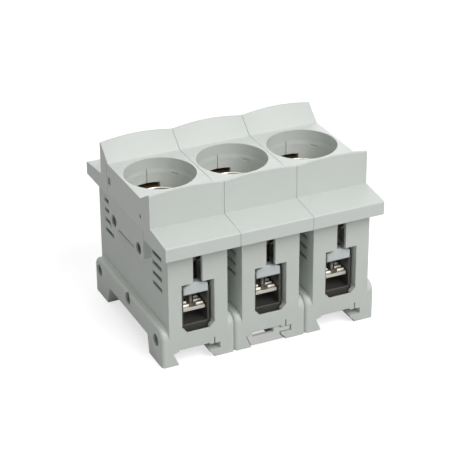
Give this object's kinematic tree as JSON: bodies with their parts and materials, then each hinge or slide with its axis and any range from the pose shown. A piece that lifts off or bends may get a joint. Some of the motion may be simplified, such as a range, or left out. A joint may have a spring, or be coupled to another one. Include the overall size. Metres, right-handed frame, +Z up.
{
  "type": "rail mounted fuse base",
  "caption": "Rail-mounted three-pole base for screw-in cartridge fuses, with open round mouths, box-clamp terminals at both ends and a sprung rail latch.",
  "frame": {"origin": "centre of the footprint, on the plane of the feet", "axes": "+X along the rail, -Y the front shown in the picture, +Z up out of the rail"},
  "size_m": [0.0808, 0.071, 0.0641],
  "materials": {
    "housing_moulding": "fine spark texture, light grey",
    "cover_moulding": "satin moulded, light grey",
    "plated_shell": "nickel plated, drawn",
    "contact_strip": "tin plated copper alloy, blanked and folded",
    "foot_contact": "turned",
    "clamp_steel": "zinc plated, folded",
    "saddle_moulding": "smooth moulded, pale blue grey",
    "screw_steel": "zinc plated, cold headed",
    "pin_moulding": "moulded",
    "latch_moulding": "moulded"
  },
  "bodies": {
    "base": {"housing_1": "housing_moulding", "thread_shell_1": "plated_shell", "shell_strip_1": "contact_strip", "foot_strip_1": "contact_strip", "foot_contact_1": "foot_contact", "housing_2": "housing_moulding", "thread_shell_2": "plated_shell", "shell_strip_2": "contact_strip", "foot_strip_2": "contact_strip", "foot_contact_2": "foot_contact", "housing_3": "housing_moulding", "thread_shell_3": "plated_shell", "shell_strip_3": "contact_strip", "foot_strip_3": "contact_strip", "foot_contact_3": "foot_contact", "joining_pins_1_2": "pin_moulding", "joining_pins_2_3": "pin_moulding"},
    "rail_latch": {"rail_latch": "latch_moulding"},
    "cover_1": {"cover_1": "cover_moulding"},
    "clamp_screw_front_1": {"clamp_screw_front_1": "screw_steel"},
    "clamp_front_1": {"clamp_cage_front_1": "clamp_steel", "clamp_saddle_front_1": "saddle_moulding"},
    "clamp_screw_rear_1": {"clamp_screw_rear_1": "screw_steel"},
    "clamp_rear_1": {"clamp_cage_rear_1": "clamp_steel", "clamp_saddle_rear_1": "saddle_moulding"},
    "cover_2": {"cover_2": "cover_moulding"},
    "clamp_screw_front_2": {"clamp_screw_front_2": "screw_steel"},
    "clamp_front_2": {"clamp_cage_front_2": "clamp_steel", "clamp_saddle_front_2": "saddle_moulding"},
    "clamp_screw_rear_2": {"clamp_screw_rear_2": "screw_steel"},
    "clamp_rear_2": {"clamp_cage_rear_2": "clamp_steel", "clamp_saddle_rear_2": "saddle_moulding"},
    "cover_3": {"cover_3": "cover_moulding"},
    "clamp_screw_front_3": {"clamp_screw_front_3": "screw_steel"},
    "clamp_front_3": {"clamp_cage_front_3": "clamp_steel", "clamp_saddle_front_3": "saddle_moulding"},
    "clamp_screw_rear_3": {"clamp_screw_rear_3": "screw_steel"},
    "clamp_rear_3": {"clamp_cage_rear_3": "clamp_steel", "clamp_saddle_rear_3": "saddle_moulding"}
  },
  "joints": [
    {"name": "rail_latch_slide", "type": "slide", "parent": "base", "child": "rail_latch", "axis": [0, -1, 0], "range_m": [0, 0.003], "stiffness_N_per_m": 600, "springref_m": -0.003},
    {"name": "cover_1_lift", "type": "slide", "parent": "base", "child": "cover_1", "axis": [0, 0, 1], "range_m": [0, 0.012]},
    {"name": "screw_front_1_turn", "type": "hinge", "parent": "base", "child": "clamp_screw_front_1", "pos_m": [-0.027, -0.0234, 0.03], "axis": [0, 0, -1], "range_deg": [0, 1890]},
    {"name": "clamp_front_1_lift", "type": "slide", "parent": "base", "child": "clamp_front_1", "axis": [0, 0, 1], "range_m": [0, 0.0042]},
    {"name": "screw_rear_1_turn", "type": "hinge", "parent": "base", "child": "clamp_screw_rear_1", "pos_m": [-0.027, 0.0239, 0.03], "axis": [0, 0, -1], "range_deg": [0, 1890]},
    {"name": "clamp_rear_1_lift", "type": "slide", "parent": "base", "child": "clamp_rear_1", "axis": [0, 0, 1], "range_m": [0, 0.0042]},
    {"name": "cover_2_lift", "type": "slide", "parent": "base", "child": "cover_2", "axis": [0, 0, 1], "range_m": [0, 0.012]},
    {"name": "screw_front_2_turn", "type": "hinge", "parent": "base", "child": "clamp_screw_front_2", "pos_m": [0, -0.0234, 0.03], "axis": [0, 0, -1], "range_deg": [0, 1890]},
    {"name": "clamp_front_2_lift", "type": "slide", "parent": "base", "child": "clamp_front_2", "axis": [0, 0, 1], "range_m": [0, 0.0042]},
    {"name": "screw_rear_2_turn", "type": "hinge", "parent": "base", "child": "clamp_screw_rear_2", "pos_m": [0, 0.0239, 0.03], "axis": [0, 0, -1], "range_deg": [0, 1890]},
    {"name": "clamp_rear_2_lift", "type": "slide", "parent": "base", "child": "clamp_rear_2", "axis": [0, 0, 1], "range_m": [0, 0.0042]},
    {"name": "cover_3_lift", "type": "slide", "parent": "base", "child": "cover_3", "axis": [0, 0, 1], "range_m": [0, 0.012]},
    {"name": "screw_front_3_turn", "type": "hinge", "parent": "base", "child": "clamp_screw_front_3", "pos_m": [0.027, -0.0234, 0.03], "axis": [0, 0, -1], "range_deg": [0, 1890]},
    {"name": "clamp_front_3_lift", "type": "slide", "parent": "base", "child": "clamp_front_3", "axis": [0, 0, 1], "range_m": [0, 0.0042]},
    {"name": "screw_rear_3_turn", "type": "hinge", "parent": "base", "child": "clamp_screw_rear_3", "pos_m": [0.027, 0.0239, 0.03], "axis": [0, 0, -1], "range_deg": [0, 1890]},
    {"name": "clamp_rear_3_lift", "type": "slide", "parent": "base", "child": "clamp_rear_3", "axis": [0, 0, 1], "range_m": [0, 0.0042]}
  ],
  "couplings": [
    {"joint": "screw_front_1_turn", "follows": "clamp_front_1_lift", "rad_per_m": 7853.9},
    {"joint": "screw_rear_1_turn", "follows": "clamp_rear_1_lift", "rad_per_m": 7853.9},
    {"joint": "screw_front_2_turn", "follows": "clamp_front_2_lift", "rad_per_m": 7853.9},
    {"joint": "screw_rear_2_turn", "follows": "clamp_rear_2_lift", "rad_per_m": 7853.9},
    {"joint": "screw_front_3_turn", "follows": "clamp_front_3_lift", "rad_per_m": 7853.9},
    {"joint": "screw_rear_3_turn", "follows": "clamp_rear_3_lift", "rad_per_m": 7853.9}
  ]
}
